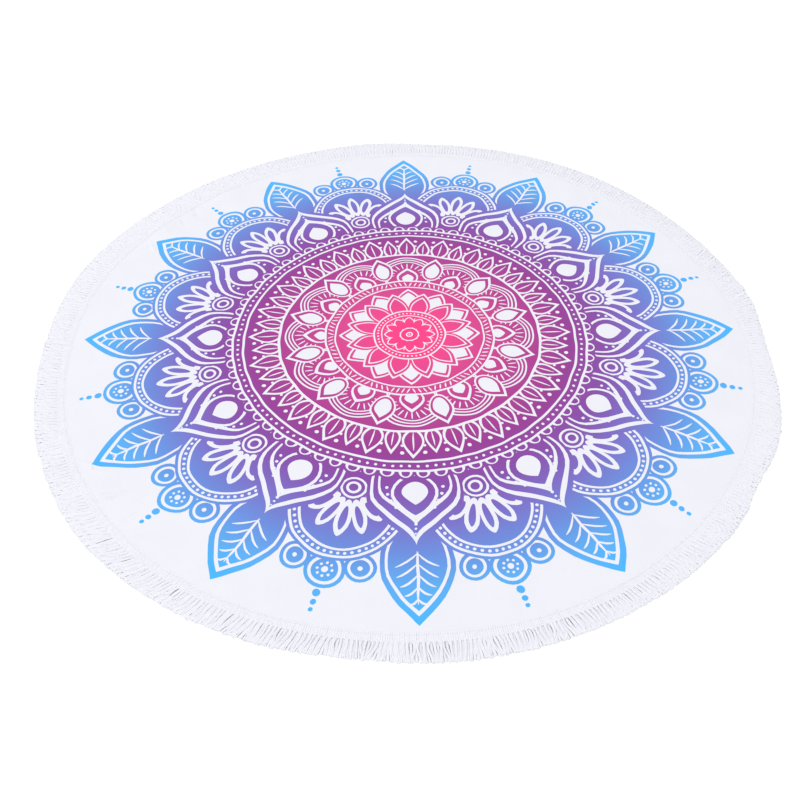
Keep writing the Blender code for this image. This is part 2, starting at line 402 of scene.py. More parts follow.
def rope_band():
    """A narrow band of slanted dashes."""
    bands(0.262, 0.2555)
    slant = ((-0.9, 0.234), (-0.3, 0.240), (0.3, 0.246), (0.9, 0.2515))
    for dash in range(-1, 5):
        angle = 3.75 * dash + 1.875
        stroke([on_ray(angle + side, share(radius)) for side, radius in slant], 0.0030, 0.5)
    bands(0.2305, 0.2255)


def lotus_heart():
    """Two rows of petals, a dotted ring and a rosette in the middle."""
    nest(AXIS, 0.09, 0.218, 0.042, lotus(0.5, 0.9), (0.0028, 0.0062), BARE)
    nest(BETWEEN, 0.06, 0.200, 0.037, lotus(0.52, 0.85), (0.0026, 0.0068, 0.0090), BARE)
    bands(0.112, 0.107)
    for bead in range(2):
        dot(3.75 + 7.5 * bead, share(0.098), 0.0021)
    bands(0.089, 0.0855)
    nest(AXIS, 0.022, 0.080, 0.0165, lotus(0.6, 0.7), (0.0019,), BARE, steps=10, tip_pull=1.5)
    stroke([on_ray(BETWEEN, share(radius)) for radius in (0.055, 0.066, 0.077)], 0.0020, 0.4)
    bands(0.029, 0.0255, 0.0105, 0.0065)


for ring in (outer_finials, leaf_tips, beaded_arches, ogee_petals, scalloped_band, laurel, hatched_domes,
             rope_band, lotus_heart):
    ring()

# === Cloth ===
# Steps of the wedge's rim, and the grid on open ground between outlines.
ARC_STEPS = 12
GRID_STEP, GRID_CLEAR = 0.0125, 0.0045
# Room for rounding: degrees, metres at cuts, merging and the print's rim, and a triangle's area.
TURN_ROOM, CUT_ROOM, MERGE_ROOM, RIM_ROOM, SLIVER = 0.01, 2e-6, 5e-6, 1e-5, 1e-12
# Small shifts of the printed lines, which fade out at their rim. Each row: size, radians per metre in x and
# y, phase.
WOBBLE_X = ((0.00065, 83, 37, 1.0), (0.00050, -61, 108, 2.5))
WOBBLE_Y = ((0.00065, -42, 90, 0.3), (0.00050, 113, 52, 4.1))
WOBBLE_FADE = 0.012
# Rings of the border, of the hem (share of the radius, drop in metres) and of the underside (share, rise).
RING_ROWS = 6
HEM_DROPS = ((0.9975, 0.00005), (0.9990, 0.0002), (0.9997, 0.0006))
UNDER_RINGS = (
    (0.9997, 0.0005), (0.9985, 0.0), (0.985, 0.0), (0.93, 0.0), (0.84, 0.0),
    (0.70, 0.0), (0.54, 0.0), (0.36, 0.0), (0.18, 0.0),
)
# Near creases, where these have more than their faintest share of height, edges are halved in some passes
# while they are longer than a share of the crease's half-width.
FAINTEST, REFINE_PASSES, EDGE_SHARE = 0.01, 3, 0.40
# Exact normals are given inside this share of the radius. The hem keeps the mesh's own.
NORMALS_END, NORMAL_STEP = 0.985, 0.0008
# The bake's layout: size and middle of the upper face, then of the underside, and room past the edge.
UV_TOP, UV_MIDDLE = 0.470, 0.5
UV_UNDER, UV_UNDER_MIDDLE = 0.062, 0.068
UV_ROOM = 1.01


def set_uv(mesh, uv):
    """Gives a mesh its layout for baking, one pair for each face corner."""
    mesh.uv_layers.new(name="OFBake").data.foreach_set("uv", np.asarray(uv, np.float32).ravel())


def inside(outline, x, y):
    """Which of the points lie inside a closed outline."""
    hit = np.zeros(len(x), bool)
    corners = np.array(outline)
    for (x0, y0), (x1, y1) in zip(corners, np.roll(corners, -1, axis=0)):
        if y0 == y1:
            continue
        crosses = (y0 > y) != (y1 > y)
        hit ^= crosses & (x < (x1 - x0) * (y - y0) / (y1 - y0) + x0)
    return hit


def grid_points(taken):
    """Points inside the wedge that keep triangles small on open ground, clear of the print's corners."""
    step_y = GRID_STEP * math.sqrt(3) / 2
    found = []
    for line in range(int(PRINT_DISC * math.sin(math.radians(HALF_SECTOR)) / step_y) + 1):
        y = step_y * (line + 0.5)
        count = int(PRINT_DISC / GRID_STEP) + 1
        x = GRID_STEP * (np.arange(count) + 0.5 * (line % 2))
        reach, turn = np.hypot(x, y), np.degrees(np.arctan2(y, x))
        off_side = reach * np.sin(np.radians(HALF_SECTOR - turn))
        keep = (reach < PRINT_DISC - GRID_CLEAR) & (turn < HALF_SECTOR) & (off_side > GRID_CLEAR)
        found += [(a, y) for a in x[keep]]
    spots = np.array(found)
    near = np.sqrt(((spots[:, None] - taken[None]) ** 2).sum(2)).min(1)
    return spots[near > GRID_CLEAR]


def wedge():
    """The half sector as triangles: its points, its triangles and which of these are dyed."""
    points, edges = [], []

    def loop(outline):
        first = len(points)
        points.extend(outline)
        count = len(outline)
        edges.extend((first + i, first + (i + 1) % count) for i in range(count))

    arc = [on_ray(HALF_SECTOR * step / ARC_STEPS, PRINT_DISC) for step in range(ARC_STEPS + 1)]
    loop([(0.0, 0.0)] + arc)
    for outline, _ in shapes:
        turns = [math.degrees(math.atan2(y, x)) for x, y in outline]
        if max(turns) > -TURN_ROOM and min(turns) < HALF_SECTOR + TURN_ROOM:
            loop(outline)
    points.extend(map(tuple, grid_points(np.array(points))))
    verts, _, faces, *_ = delaunay_2d_cdt([Vector(p) for p in points], edges, [], 0, CUT_ROOM, False)
    spots = np.array([tuple(v) for v in verts], float)
    faces = np.array([tuple(f) for f in faces])
    middle = spots[faces].mean(1)
    turn = np.degrees(np.arctan2(middle[:, 1], middle[:, 0]))
    step = HALF_SECTOR / ARC_STEPS
    chord = PRINT_DISC * math.cos(math.radians(step / 2)) / np.cos(np.radians(turn % step - step / 2))
    kept = (turn > 0) & (turn < HALF_SECTOR) & (np.hypot(*middle.T) < chord)
    a, b, c = (spots[faces[:, corner]] for corner in range(3))
    area = np.abs((b - a)[:, 0] * (c - a)[:, 1] - (b - a)[:, 1] * (c - a)[:, 0])
    kept &= area > SLIVER
    faces, middle = faces[kept], middle[kept]
    colour = np.zeros(len(faces), int)
    for outline, paint_of in shapes:
        colour[inside(outline, middle[:, 0], middle[:, 1])] = paint_of
    used = np.unique(faces)
    remap = np.full(len(spots), -1)
    remap[used] = np.arange(len(used))
    spots, faces = spots[used], remap[faces]
    spots[np.abs(spots[:, 1]) < CUT_ROOM, 1] = 0.0
    ray = np.array((math.cos(math.radians(HALF_SECTOR)), math.sin(math.radians(HALF_SECTOR))))
    on_side = np.abs(spots[:, 1] * ray[0] - spots[:, 0] * ray[1]) < CUT_ROOM
    spots[on_side] = (spots[on_side] @ ray)[:, None] * ray
    return spots, faces, colour


def whole_print():
    """The wedge mirrored and turned into the full disc, with doubled points merged."""
    spots, faces, colour = wedge()
    all_spots, all_faces, all_colours = [], [], []
    for sector in range(FOLD_COUNT):
        turn = math.tau * sector / FOLD_COUNT
        rotate = np.array(((math.cos(turn), math.sin(turn)), (-math.sin(turn), math.cos(turn))))
        for side in (1, -1):
            first = sum(map(len, all_spots))
            all_spots.append((spots * (1, side)) @ rotate)
            all_faces.append(faces[:, ::side] + first)
            all_colours.append(colour)
    return np.concatenate(all_spots), np.concatenate(all_faces), np.concatenate(all_colours)


def wobble(table, x, y):
    """Small smooth shifts along one axis that make printed lines look drawn by hand."""
    size, turn_x, turn_y, phase = rows(table)
    return (size * np.sin(turn_x * x + turn_y * y + phase)).sum(0)


def rim_rows():
    """x, y and drop of the rings from the print's disc to the cloth's rim, without the disc's own rim."""
    angle = even_turns(2 * FOLD_COUNT * ARC_STEPS) + PRINT_TURN
    inner_x = PRINT_DISC * np.cos(angle) + PRINT_MIDDLE[0]
    inner_y = PRINT_DISC * np.sin(angle) + PRINT_MIDDLE[1]
    outer_x, outer_y = edge_points(CLOTH_RADIUS, angle)
    made = []
    last = HEM_DROPS[0][0]
    for row in range(1, RING_ROWS):
        part_way = row / RING_ROWS
        x = inner_x + (outer_x * last - inner_x) * part_way
        y = inner_y + (outer_y * last - inner_y) * part_way
        made.append((x, y, 0.0))
    return made + [(outer_x * reach, outer_y * reach, drop) for reach, drop in HEM_DROPS]


def top_height(x, y):
    """Height of the cloth's upper face."""
    return CLOTH_THICKNESS + relief(x, y)


def slopes(x, y):
    """Unit normals of the upper face."""
    dx = (top_height(x + NORMAL_STEP, y) - top_height(x - NORMAL_STEP, y)) / (2 * NORMAL_STEP)
    dy = (top_height(x, y + NORMAL_STEP) - top_height(x, y - NORMAL_STEP)) / (2 * NORMAL_STEP)
    normals = np.stack((-dx, -dy, np.ones(len(x))), 1)
    return normals / np.linalg.norm(normals, axis=1)[:, None]


def strip(first, second):
    """Triangles between two rings of vertices that have the same length."""
    quads = zip(first, second, second[1:] + second[:1], first[1:] + first[:1])
    return [corners for a, b, c, d in quads for corners in ((a, b, c), (a, c, d))]


def refine(bm):
    """Splits edges near the fine creases, so that they show as real relief."""
    finest = min(row[4] for row in CREASES) * EDGE_SHARE
    presence = tuple((*row[:5], 1.0) for row in CREASES)
    widths = tuple((*row[:5], row[4]) for row in CREASES)
    for _ in range(REFINE_PASSES):
        edges = [edge for edge in bm.edges if edge.calc_length() > finest and not edge.is_boundary]
        x, y = np.array([(edge.verts[0].co + edge.verts[1].co)[:2] for edge in edges]).T / 2
        length = np.array([edge.calc_length() for edge in edges])
        near = humps(presence, x, y)
        too_long = (near > FAINTEST) & (length * near > EDGE_SHARE * humps(widths, x, y))
        chosen = [edge for edge, wanted in zip(edges, too_long) if wanted]
        if not chosen:
            return
        bmesh.ops.subdivide_edges(bm, edges=chosen, cuts=1, use_grid_fill=False)
        bmesh.ops.triangulate(bm, faces=[face for face in bm.faces if len(face.verts) > 3])


def lay_print(bm):
    """Adds the carved print, lying flat in its place, and gives the vertices of its rim in order."""
    spots, faces, colour = whole_print()
    verts = [bm.verts.new((x, y, 0)) for x, y in spots]
    for corners, dye in zip(faces, colour):
        bm.faces.new([verts[corner] for corner in corners]).material_index = int(dye)
    bmesh.ops.remove_doubles(bm, verts=bm.verts, dist=MERGE_ROOM)
    bm.verts.ensure_lookup_table()
    flat = np.array([vert.co[:2] for vert in bm.verts])
    reach = np.hypot(*flat.T)
    order = np.argsort(np.arctan2(flat[:, 1], flat[:, 0]) % (math.tau - RIM_ROOM))
    still = np.clip((PRINT_DISC - reach) / WOBBLE_FADE, 0, 1)
    moved = flat + np.stack([wobble(table, *flat.T) for table in (WOBBLE_X, WOBBLE_Y)], 1) * still[:, None]
    cos, sin = math.cos(PRINT_TURN), math.sin(PRINT_TURN)
    moved = moved @ np.array(((cos, sin), (-sin, cos))) + PRINT_MIDDLE
    for vert, (x, y) in zip(bm.verts, moved):
        vert.co = (x, y, 0)
    return [bm.verts[i] for i in order if reach[i] > PRINT_DISC - RIM_ROOM]


def turn_of(vert):
    """A vertex's angle round the cloth's middle."""
    return math.atan2(vert.co.y - CLOTH_OFFSET[1], vert.co.x - CLOTH_OFFSET[0])


def close_below(bm):
    """Adds the underside, from the rim of the upper face inwards."""
    chain = [sorted((vert for vert in bm.verts if vert.is_boundary), key=turn_of)]
    floor_x, floor_y = edge_points(CLOTH_RADIUS, np.array([turn_of(vert) for vert in chain[0]]))
    for reach, rise in UNDER_RINGS:
        x, y = floor_x * reach, floor_y * reach
        chain.append([bm.verts.new(point) for point in zip(x, y, lift(x, y) + rise)])
    middle = bm.verts.new((0, 0, 0))
    corners = [three for outer, inner in zip(chain, chain[1:]) for three in strip(outer, inner)]
    last = chain[-1]
    corners += [(a, middle, b) for a, b in zip(last, last[1:] + last[:1])]
    for three in corners:
        bm.faces.new(three).material_index = UNDERSIDE


def make_cloth():
    """The whole cloth as one closed sheet, and how many of its vertices lie on the upper face."""
    bm = bmesh.new()
    sunk = bm.verts.layers.float.new("sunk")
    rings = [lay_print(bm)]
    for x, y, drop in rim_rows():
        rings.append([bm.verts.new((a, b, 0)) for a, b in zip(x, y)])
        for vert in rings[-1]:
            vert[sunk] = drop
    for inner, outer in zip(rings, rings[1:]):
        for corners in strip(inner, outer):
            bm.faces.new(corners).material_index = BARE
    bm.normal_update()
    refine(bm)
    top_count = len(bm.verts)
    height = top_height(*np.array([vert.co[:2] for vert in bm.verts]).T)
    for vert, z in zip(bm.verts, height):
        vert.co.z = z - vert[sunk]
    close_below(bm)
    mesh = bpy.data.meshes.new("towel_cloth_printed")
    bm.to_mesh(mesh)
    bm.free()
    mesh.shade_smooth()
    return mesh, top_count


def finish_cloth(mesh, top_count):
    """Gives the upper face its exact normals and the cloth its layout for baking."""
    points = np.empty(len(mesh.vertices) * 3)
    mesh.vertices.foreach_get("co", points)
    points = points.reshape(-1, 3)
    normals = np.zeros_like(points)
    inner = np.hypot(*(points[:top_count, :2] - CLOTH_OFFSET).T) < CLOTH_RADIUS * NORMALS_END
    normals[:top_count][inner] = slopes(*points[:top_count, :2].T)[inner]
    mesh.normals_split_custom_set_from_vertices(normals.tolist())
    corner_verts = np.empty(len(mesh.loops), int)
    mesh.loops.foreach_get("vertex_index", corner_verts)
    material_of = np.empty(len(mesh.polygons), int)
    mesh.polygons.foreach_get("material_index", material_of)
    below = np.repeat(material_of == UNDERSIDE, 3)[:, None]
    spot = (points[corner_verts][:, :2] - CLOTH_OFFSET) / (CLOTH_RADIUS * UV_ROOM)
    set_uv(mesh, np.where(below, UV_UNDER_MIDDLE + UV_UNDER * spot * (-1, 1), UV_MIDDLE + UV_TOP * spot))


# === Fringe trim: ribbed heading band, stitches and twisted strands ===
HEADING_RIBS = 1170
RIB_DEPTH = 0.00065
HEADING_LAP = 0.0016
# Each row: share of the band's width, share of its thickness, and how much of the ribs' depth shows there.
HEADING_PROFILE = (
    (0.00, 0.70, 0.0), (0.00, 0.79, 0.1), (0.03, 0.83, 0.5), (0.20, 0.90, 1.0), (0.50, 0.95, 1.0),
    (0.78, 0.95, 1.0), (0.90, 0.90, 0.8), (1.00, 0.68, 0.4), (1.00, 0.10, 0.0), (0.16, 0.10, 0.0),
    (0.14, 0.70, 0.0),
)
# Where the groove and the two edges of a rib lie, and how much of the groove's depth is there.
RIB_COLUMNS = ((0.0, 1.0), (0.20, 0.0), (0.80, 0.0))
# Chance in the ribs' spacing and depth.
RIB_JITTER, RIB_DEPTHS = 0.08, (0.8, 1.15)
STITCHES = 1288
STITCH_LENGTH = 0.0026
STITCH_RADIUS = 0.00022
STITCH_INSET = 0.0024
# The stitches' level as a share of the heading's thickness, and their bow and thinning.
STITCH_LEVEL, STITCH_TOP, STITCH_BOW, STITCH_THINNING = 0.91, 1.4, 5.6, 1.2
LOCKS = 556
LOCK_PIECES = 5
YARNS = 5
SIDES = 6
SECTIONS = np.array((0, 0.06, 0.12, 0.19, 0.26, 0.34, 0.42, 0.50, 0.58, 0.66, 0.74, 0.82, 0.90, 0.96, 1.0))
# Yarns lie round a lock's middle line. Shares of these sizes are given at shares of its length.
LOCK_WIDTH = 0.00255
LOCK_HEIGHT = 0.00050
YARN_WIDTH = 0.00150
YARN_HEIGHT = 0.00108
LOCK_SPREAD = ((0.0, 0.92), (0.18, 0.93), (0.45, 1.04), (0.65, 1.18), (0.90, 1.32), (1.0, 1.40))
LOCK_RISE = ((0.0, 0.55), (0.15, 0.85), (0.45, 1.00), (0.70, 0.95), (1.0, 0.45))
YARN_GROWTH = ((0.0, 0.91), (0.20, 1.00), (0.60, 1.00), (0.90, 0.86))
TIP_FLATNESS = ((0.0, 1.0), (0.68, 1.0), (1.0, 0.5))
# The yarns' size in their last sections.
TIP_SIZES = (0.84, 0.70, 0.42)
LOCK_TURNS = (0.4, 0.9)
# How far the locks start under the heading, and how much more by chance.
ROOT_TUCK, TUCK_SPREAD = 0.0030, 0.0018
LENGTH_SPREAD = 0.0006
YARN_SPREAD = 0.012
LOCK_JITTER = 0.05
LOCK_LEAN = 0.0014
LOCK_CURL, CURL_TURNS = 0.0011, 0.8
# Ranges of chance: how sharply locks bend, their width, and the turn and thickness of their yarns.
LOCK_BENDS, LOCK_WIDTHS = (0.8, 1.8), (0.86, 1.07)
YARN_TURN, YARN_THICKNESS = (-0.25, 0.25), (0.90, 1.08)
# How high a lock may lie over its neighbour, and how fast this comes and goes along it.
LOCK_OVERLAP, OVERLAP_PACE = 0.0004, 1.15
# How far locks close up or fan out where leans differ.
FAN_LIMITS = (-0.25, 0.45)
# How fast the cloth's relief fades out along the locks.
RELIEF_PACE = 1.6
FLOOR_ROOM, BED_FLOOR_ROOM = 0.00002, 0.00001
# How far the tips of the locks lean clockwise, in millimetres, at every 10 degrees from -180 on.
LEANS = (
    16, 18, 14, 6, 21, 26, 9, 10, 3, 0, -2, -4,
    -8, -8, -3, -4, 6, 5, 0, -19, -21, -3, -10, -3,
    -5, -3, -2, -1, 3, 2, 2, -7, -8, -15, -6, 5,
)
SWAYS = ((37, 0.0026, 2.0), (61, 0.0020, 5.0))
# A thinner layer of yarn lies under the gaps between locks. It has these of their sections.
BED_SECTIONS = [0, 2, 4, 6, 8, 10, 12, 13]
BED_WIDTH = 0.0040
BED_HEIGHT = 0.0011
BED_GROWTH = ((0.0, 0.85), (0.30, 0.90), (0.60, 1.00), (1.0, 1.00))
# The fringe is loosest at the front: its locks sway and curl more and lie farther apart, and its ribs are
# deeper. The row: angle and half-width in degrees, looseness.
FRONT = ((-90, 38, 1.0),)
FRONT_SWAY, FRONT_CURL, FRONT_RIBS = 0.6, 1.6, 0.15
FRONT_NARROWING, ROOT_NARROWING = 0.34, 0.4
# Where the slits between the locks open at their roots. Each row: angle and half-width in degrees, how far.
SLITS = (
    (-90, 36, 1.2), (90, 32, 1.2), (180, 26, 0.9), (0, 24, 0.45), (-52, 14, 0.3), (-138, 20, 0.15),
    (135, 20, 0.2), (-66, 10, 0.4), (48, 14, 0.6), (-92.5, 2.0, -0.8), (-80.4, 2.2, -0.7),
)
# How much open slits narrow the locks and thin the layer under them.
ROOT_OPENING, BED_SINKING = 0.47, 0.66
# The power by which slits close along the locks, and how much less it is at the front.
SLIT_POWER, FRONT_SLIT_POWER = 2, 1.6
# A slit's first opening, where it starts at the latest, how soon it is open, and chance in its size.
SLIT_FIRST, SLIT_START, SLIT_RAMP, SLIT_SPREAD = 0.3, 0.26, 0.10, (0.6, 1.6)
# Where yarn is shorter or longer than the solid. Each row: angle, half-width in degrees, rise in metres.
TRIMS = (
    (90, 45, -0.0034), (-138, 26, -0.0022), (-60, 20, 0.0006), (178, 14, -0.0030), (-40, 12, 0.0028),
    (2, 14, 0.0018),
)
# Where a tube's wall and caps lie in its own cell of the bake, as shares of the cell.
WALL_SPOT, WALL_SIZE = (0.03, 0.05), (0.84, 0.90)
CAP_SPOTS, CAP_RADIUS = ((0.94, 0.25), (0.94, 0.75)), 0.045
SEED = 11


def grid_faces(row_count, column_count, wrap_rows=False, wrap_columns=False):
    """Quads over a grid of points stored row after row."""
    row = np.arange(row_count if wrap_rows else row_count - 1)
    column = np.arange(column_count if wrap_columns else column_count - 1)
    r, c = np.meshgrid(row, column, indexing="ij")
    here, ahead = r * column_count, (r + 1) % row_count * column_count
    next_c = (c + 1) % column_count
    return np.stack((here + c, here + next_c, ahead + next_c, ahead + c), -1).reshape(-1, 4)


def new_mesh(name, points, faces):
    """A smooth mesh from an array of points and a list of faces."""
    mesh = bpy.data.meshes.new(name)
    mesh.from_pydata(points.reshape(-1, 3).tolist(), [], faces)
    mesh.shade_smooth()
    return mesh


def make_heading(chance):
    """The ribbed band that the strands hang from."""
    columns = len(RIB_COLUMNS) * HEADING_RIBS
    place_of, groove_of = np.array(RIB_COLUMNS).T
    jitter = chance.uniform(-RIB_JITTER, RIB_JITTER, (HEADING_RIBS, 1))
    angle = (np.arange(HEADING_RIBS)[:, None] + jitter + place_of).ravel() * math.tau / HEADING_RIBS
    groove = (RIB_DEPTH * groove_of * chance.uniform(*RIB_DEPTHS, (HEADING_RIBS, 1))).ravel()
    groove *= 1 + FRONT_RIBS * swell(FRONT, angle)
    points = []
    for across, height, ribbed in HEADING_PROFILE:
        x, y = edge_points(HEADING_RADIUS - HEADING_LAP + across * (HEADING_WIDTH + HEADING_LAP), angle)
        ground = relief(x, y) if height > 0.5 else lift(x, y)
        points.append(np.stack((x, y, ground + height * HEADING_THICKNESS - ribbed * groove), 1))
    faces = grid_faces(len(points), columns, wrap_rows=True, wrap_columns=True)
    corner = grid_faces(len(points) + 1, columns + 1)
    uv = np.stack((corner % (columns + 1) / columns, corner // (columns + 1) / len(points)), -1)
    mesh = new_mesh("fringe_heading", np.array(points), faces[:, ::-1].tolist())
    set_uv(mesh, uv[:, ::-1])
    return mesh


def tube_mesh(name, points, sections, sides):
    """Tubes with end caps, each with a cell of the bake, from points by tube, section and side."""
    count = points.size // (3 * sections * sides)
    starts = np.arange(count) * sections * sides
    quads = (grid_faces(sections, sides, wrap_columns=True) + starts[:, None, None]).reshape(-1, 4)
    ring = np.arange(sides)
    feet = starts[:, None] + ring[::-1]
    tips = starts[:, None] + (sections - 1) * sides + ring
    mesh = new_mesh(name, points, quads.tolist() + feet.tolist() + tips.tolist())
    corner = grid_faces(sections, sides + 1)
    wall = np.stack((WALL_SIZE[0] * (corner // (sides + 1)) / (sections - 1),
                     WALL_SIZE[1] * (corner % (sides + 1)) / sides), -1).reshape(-1, 2)
    turn = even_turns(sides)
    cap = CAP_RADIUS * np.stack((np.cos(turn), np.sin(turn)), -1)
    cells = math.ceil(math.sqrt(count))
    cell = np.stack((np.arange(count) % cells, np.arange(count) // cells), -1)[:, None]
    parts = ((wall, WALL_SPOT), (cap[::-1], CAP_SPOTS[0]), (cap, CAP_SPOTS[1]))
    set_uv(mesh, np.concatenate([((part + at)[None] + cell).reshape(-1, 2) / cells for part, at in parts]))
    return mesh


def make_stitches():
    """One row of stitches through the heading band, each a short bowed thread."""
    sections, sides = 5, 5
    along = np.linspace(-0.5, 0.5, sections)
    turn = even_turns(sides)
    radius = HEADING_RADIUS + STITCH_INSET
    angle = even_turns(STITCHES)[:, None] + along * STITCH_LENGTH / radius
    x, y = edge_points(radius, angle.ravel())
    bow = STITCH_RADIUS * (STITCH_TOP - STITCH_BOW * np.tile(along, STITCHES) ** 2)
    z = relief(x, y) + STITCH_LEVEL * HEADING_THICKNESS + bow
    middle = np.stack((x, y, z), 1).reshape(STITCHES, sections, 1, 3)
    outward = np.stack((np.cos(angle), np.sin(angle), np.zeros_like(angle)), -1)[:, :, None]
    ring = np.cos(turn)[:, None] * outward + np.sin(turn)[:, None] * np.array((0.0, 0.0, 1.0))
    thin = (1 - STITCH_THINNING * along ** 2)[:, None, None]
    return tube_mesh("fringe_stitches", middle + ring * STITCH_RADIUS * thin, sections, sides)


def lock_paths(chance):
    """Each lock's middle and height by section, its directions, its width and how open its slits are."""
    angle = (np.arange(LOCKS) + chance.uniform(-LOCK_JITTER, LOCK_JITTER, LOCKS)) * math.tau / LOCKS
    loose = swell(FRONT, angle)
    leans = chance.uniform(-LOCK_LEAN, LOCK_LEAN, LOCKS) * (1 + FRONT_SWAY * loose)
    leans -= np.interp(np.degrees(angle), np.arange(len(LEANS)) * 10.0 - 180, LEANS, period=360) / 1000
    for turns, size, phase in SWAYS:
        leans += size * (1 + FRONT_SWAY * loose) * np.sin(turns * angle + phase)
    spacing = (np.roll(leans, -1) - np.roll(leans, 1)) / 2 / (math.tau * OVERALL_RADIUS / LOCKS)
    out = SECTIONS
    bend = out ** chance.uniform(*LOCK_BENDS, LOCKS)[:, None]
    fan = 1 + np.clip(spacing, *FAN_LIMITS)[:, None] * bend
    fan = fan * (1 - FRONT_NARROWING * loose[:, None] * (ROOT_NARROWING + out))
    outward = np.stack((np.cos(angle), np.sin(angle)), 1)
    sideways = outward[:, ::-1] * (-1, 1)
    reach = FRINGE_LENGTH + swell(FRINGE_BULGES + TRIMS, angle) - outward @ CLOTH_OFFSET
    reach += chance.normal(0, LENGTH_SPREAD, LOCKS)
    curl = chance.uniform(-LOCK_CURL, LOCK_CURL, LOCKS) * (1 + FRONT_CURL * loose)
    side = leans[:, None] * bend + curl[:, None] * np.sin(math.tau * CURL_TURNS * out)
    tuck = ROOT_TUCK + chance.uniform(0, TUCK_SPREAD, LOCKS)[:, None]
    along = -tuck + (reach[:, None] + tuck) * out
    spot = np.stack(edge_points(ROOT_RADIUS, angle), 1)[:, None] + outward[:, None] * along[..., None]
    spot = spot + sideways[:, None] * side[..., None]
    rise = relief(*spot.reshape(-1, 2).T).reshape(LOCKS, -1) * np.clip(1 - out * RELIEF_PACE, 0, 1)
    open_by = swell(SLITS, angle)[:, None] * (1 - out) ** (SLIT_POWER - FRONT_SLIT_POWER * loose)[:, None]
    return spot, rise, outward, sideways, fan, open_by


def by_section(steps, sections=slice(None)):
    """The values of a table of steps at the sections' places along a lock."""
    return np.interp(SECTIONS[sections], *zip(*steps))


def make_locks(chance, paths):
    """Locks of loosely twisted yarns, in several meshes of whole locks."""
    spot, rise, outward, sideways, fan, open_by = paths
    out = SECTIONS
    low = by_section(TIP_FLATNESS)
    size = by_section(YARN_GROWTH)
    size[-len(TIP_SIZES):] = TIP_SIZES
    turns = chance.uniform(*LOCK_TURNS, (LOCKS, 1, 1))
    turn = math.tau * (turns * out + chance.random((LOCKS, 1, 1)) + np.arange(YARNS)[None, :, None] / YARNS)
    turn = turn + chance.uniform(*YARN_TURN, (LOCKS, YARNS, 1))
    thick = chance.uniform(*YARN_THICKNESS, (LOCKS, YARNS, 1)) * size
    begins = np.clip(SLIT_FIRST + (out - chance.uniform(0, SLIT_START, (LOCKS, 1))) / SLIT_RAMP, 0, 1)
    opening = ROOT_OPENING * open_by * begins * chance.uniform(*SLIT_SPREAD, (LOCKS, 1))
    spread = (by_section(LOCK_SPREAD) - opening) * fan
    wide = LOCK_WIDTH * spread[:, None] * chance.uniform(*LOCK_WIDTHS, (LOCKS, 1, 1))
    tall = LOCK_HEIGHT * by_section(LOCK_RISE) * low
    crossing = np.sin(math.pi * np.clip(out * OVERLAP_PACE, 0, 1))
    over = chance.uniform(0, LOCK_OVERLAP, (LOCKS, 1, 1)) * crossing
    middle_up = tall + YARN_HEIGHT * size * low + np.sin(turn) * tall + over + rise[:, None]
    stretch = chance.normal(0, YARN_SPREAD, (LOCKS, YARNS, 1)) * FRINGE_LENGTH * out ** 3
    ring = even_turns(SIDES)
    half_width = YARN_WIDTH * thick * np.sqrt(fan)[:, None]
    ring_side = (np.cos(turn) * wide)[..., None] + np.cos(ring) * half_width[..., None]
    ring_up = middle_up[..., None] + np.sin(ring) * (YARN_HEIGHT * thick * low)[..., None]
    points = np.empty((LOCKS, YARNS, len(out), SIDES, 3))
    flat = spot[:, None, :, None] + ring_side[..., None] * sideways[:, None, None, None]
    points[..., :2] = flat + stretch[..., None, None] * outward[:, None, None, None]
    points[..., 2] = np.maximum(ring_up, FLOOR_ROOM)
    groups = np.array_split(np.arange(LOCKS), LOCK_PIECES)
    return [tube_mesh(f"fringe_locks_{piece + 1}", points[group], len(out), SIDES)
            for piece, group in enumerate(groups)]


def make_bed(paths):
    """The flat layer of yarn under the locks, seen in the slits between them."""
    spot, rise, _, sideways, fan, open_by = ((each + np.roll(each, -1, 0)) / 2 for each in paths)
    spot, rise, fan, open_by = (each[:, BED_SECTIONS] for each in (spot, rise, fan, open_by))
    size = by_section(BED_GROWTH, BED_SECTIONS)
    size[-len(TIP_SIZES):] = TIP_SIZES
    ring = even_turns(SIDES)
    side = np.cos(ring) * (BED_WIDTH * fan)[..., None]
    thick = BED_HEIGHT * size * by_section(TIP_FLATNESS, BED_SECTIONS) * (1 - BED_SINKING * open_by)
    points = np.empty((LOCKS, len(BED_SECTIONS), SIDES, 3))
    points[..., :2] = spot[:, :, None] + side[..., None] * sideways[:, None, None]
    points[..., 2] = np.maximum((thick + rise)[..., None] + np.sin(ring) * thick[..., None], BED_FLOOR_ROOM)
    return tube_mesh("fringe_bed", points, len(BED_SECTIONS), SIDES)


# === Materials ===
CLOTH_WHITE = (0.780, 0.785, 0.845)
UNDER_WHITE = (0.800, 0.810, 0.840)
YARN_WHITE = (0.816, 0.821, 0.874)
TAPE_WHITE = (0.808, 0.813, 0.866)
# The dye's colour by its share of the print's radius, in screen values.
DYE_STEPS = (
    (0.00, (252, 58, 130)), (0.08, (242, 66, 136)), (0.18, (218, 70, 140)), (0.32, (182, 62, 140)),
    (0.48, (148, 58, 144)), (0.60, (130, 76, 164)), (0.70, (120, 104, 190)), (0.80, (104, 136, 212)),
    (0.90, (90, 168, 234)), (1.00, (70, 178, 246)),
)
CLOTH_BUMPS = ((1100, 0.00012, 2.0), (170, 0.00030, 2.0))
SPECULAR, SHEEN_ROUGHNESS, MOTTLE_DETAIL = 0.18, 0.6, 4.0
# The sockets of a mixing node that hold colours.
COLOUR_A, COLOUR_B, COLOUR_OUT = 6, 7, 2


def linear(values):
    """Screen values of 0 to 255 as scene-linear ones."""
    shares = [value / 255 for value in values]
    return tuple(v / 12.92 if v <= 0.04045 else ((v + 0.055) / 1.055) ** 2.4 for v in shares)


